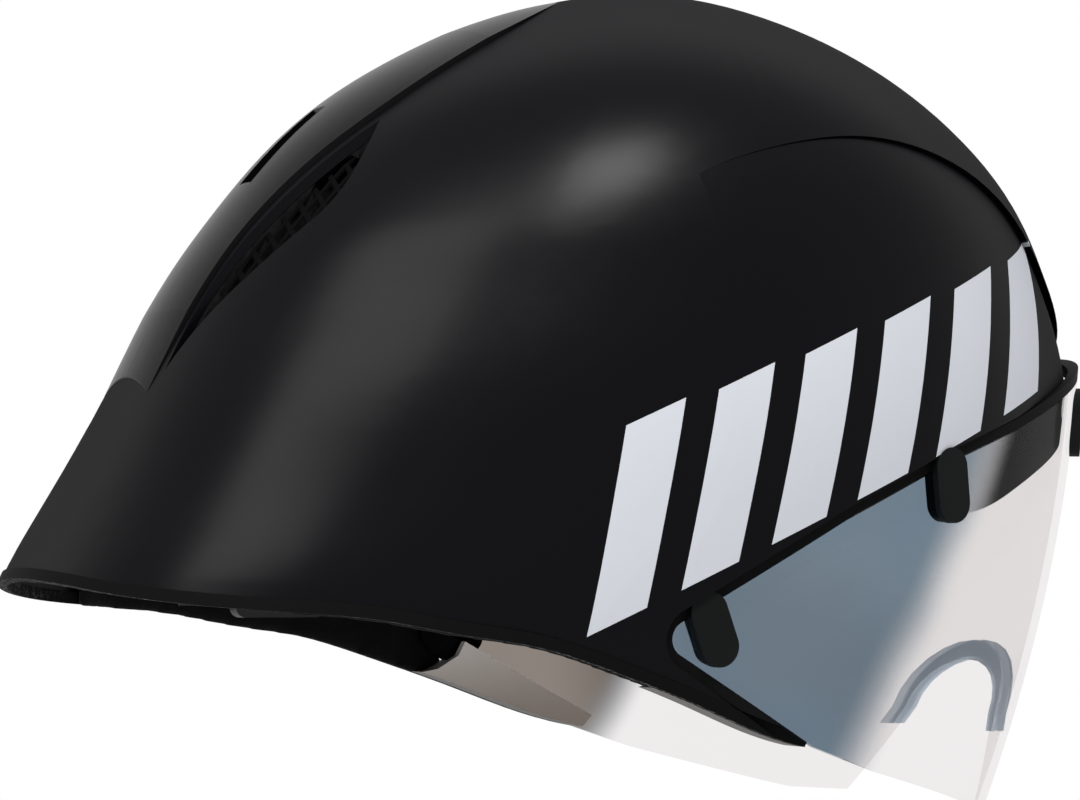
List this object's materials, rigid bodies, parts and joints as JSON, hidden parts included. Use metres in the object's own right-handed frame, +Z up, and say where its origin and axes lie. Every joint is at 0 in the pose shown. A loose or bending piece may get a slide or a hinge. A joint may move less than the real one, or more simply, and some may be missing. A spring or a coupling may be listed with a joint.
{
  "type": "aero time trial helmet",
  "caption": "Short-tailed aero time trial helmet with a smooth black shell, a lift-off wrap visor and a dial-adjusted nape cradle.",
  "frame": {"origin": "middle of the head cavity, level with the brow", "axes": "+X forward, +Y the wearer's left, +Z up"},
  "size_m": [0.3213, 0.1942, 0.2345],
  "materials": {
    "shell_paint": "satin black paint",
    "trim": "matte",
    "foam_liner": "beaded foam",
    "ear_panel": "smooth tan-grey",
    "pad_fabric": "brushed knit",
    "spine": "satin",
    "screw": "zinc",
    "mesh": "matte",
    "seal": "matte",
    "clear_seal": "translucent",
    "magnet": "nickel",
    "lens": "mirrored smoke",
    "tab": "matte",
    "nylon": "moulded",
    "webbing": "woven"
  },
  "bodies": {
    "shell": {"outer_shell": "shell_paint", "rim_trim": "trim", "eps_liner": "foam_liner", "ear_panel_left": "ear_panel", "ear_panel_right": "ear_panel", "neck_pad_left": "pad_fabric", "neck_pad_right": "pad_fabric", "tail_spine": "spine", "spine_screws": "screw", "vent_mesh": "mesh", "visor_seal": "seal", "shell_magnets": "magnet", "brow_pad": "pad_fabric", "crown_pad": "pad_fabric", "rear_pad": "pad_fabric", "side_pad_left": "pad_fabric", "side_pad_right": "pad_fabric", "height_rail": "nylon", "strap_anchors_left": "nylon", "strap_anchors_right": "nylon", "ear_straps_left": "webbing", "ear_straps_right": "webbing", "strap_divider_left": "nylon", "strap_divider_right": "nylon", "chin_strap_left": "webbing", "chin_strap_right": "webbing", "buckle_socket": "nylon", "buckle_prongs": "nylon"},
    "visor": {"visor_lens": "lens", "nose_seal": "clear_seal", "tab_side_left": "tab", "tab_side_right": "tab", "tab_middle_left": "tab", "tab_middle_right": "tab", "tab_front_left": "tab", "tab_front_right": "tab", "tab_magnets": "magnet"},
    "cradle": {"dial_housing": "nylon", "housing_cover": "nylon", "cover_screws": "screw", "nape_pad": "pad_fabric"},
    "dial": {"dial_pinion": "nylon", "dial_knob": "tab"},
    "arm_left": {"fit_arm_left": "nylon"},
    "arm_right": {"fit_arm_right": "nylon"},
    "lever_left": {"divider_lever_left": "nylon"},
    "lever_right": {"divider_lever_right": "nylon"}
  },
  "joints": [
    {"name": "visor_lift_off", "type": "slide", "parent": "shell", "child": "visor", "axis": [1, 0, 0], "range_m": [0, 0.08]},
    {"name": "cradle_height", "type": "slide", "parent": "shell", "child": "cradle", "axis": [0, 0, 1], "range_m": [-0.006, 0.006]},
    {"name": "dial_turn", "type": "hinge", "parent": "cradle", "child": "dial", "pos_m": [-0.088, 0, -0.032], "axis": [1, 0, 0], "range_deg": [-100, 100]},
    {"name": "arm_left_wrap", "type": "hinge", "parent": "cradle", "child": "arm_left", "pos_m": [-0.012, 0, -0.032], "axis": [0, 0, 1], "range_deg": [-5.3, 5.3]},
    {"name": "arm_right_wrap", "type": "hinge", "parent": "cradle", "child": "arm_right", "pos_m": [-0.012, 0, -0.032], "axis": [0, 0, 1], "range_deg": [-5.3, 5.3]},
    {"name": "lever_left_flip", "type": "hinge", "parent": "shell", "child": "lever_left", "pos_m": [-0.062, 0.0766, -0.0448], "axis": [-1, 0, 0], "range_deg": [0, 60]},
    {"name": "lever_right_flip", "type": "hinge", "parent": "shell", "child": "lever_right", "pos_m": [-0.062, -0.0766, -0.0448], "axis": [1, 0, 0], "range_deg": [0, 60]}
  ],
  "couplings": [
    {"joint": "arm_left_wrap", "follows": "dial_turn", "ratio": 0.052632},
    {"joint": "arm_right_wrap", "follows": "dial_turn", "ratio": -0.052632}
  ]
}
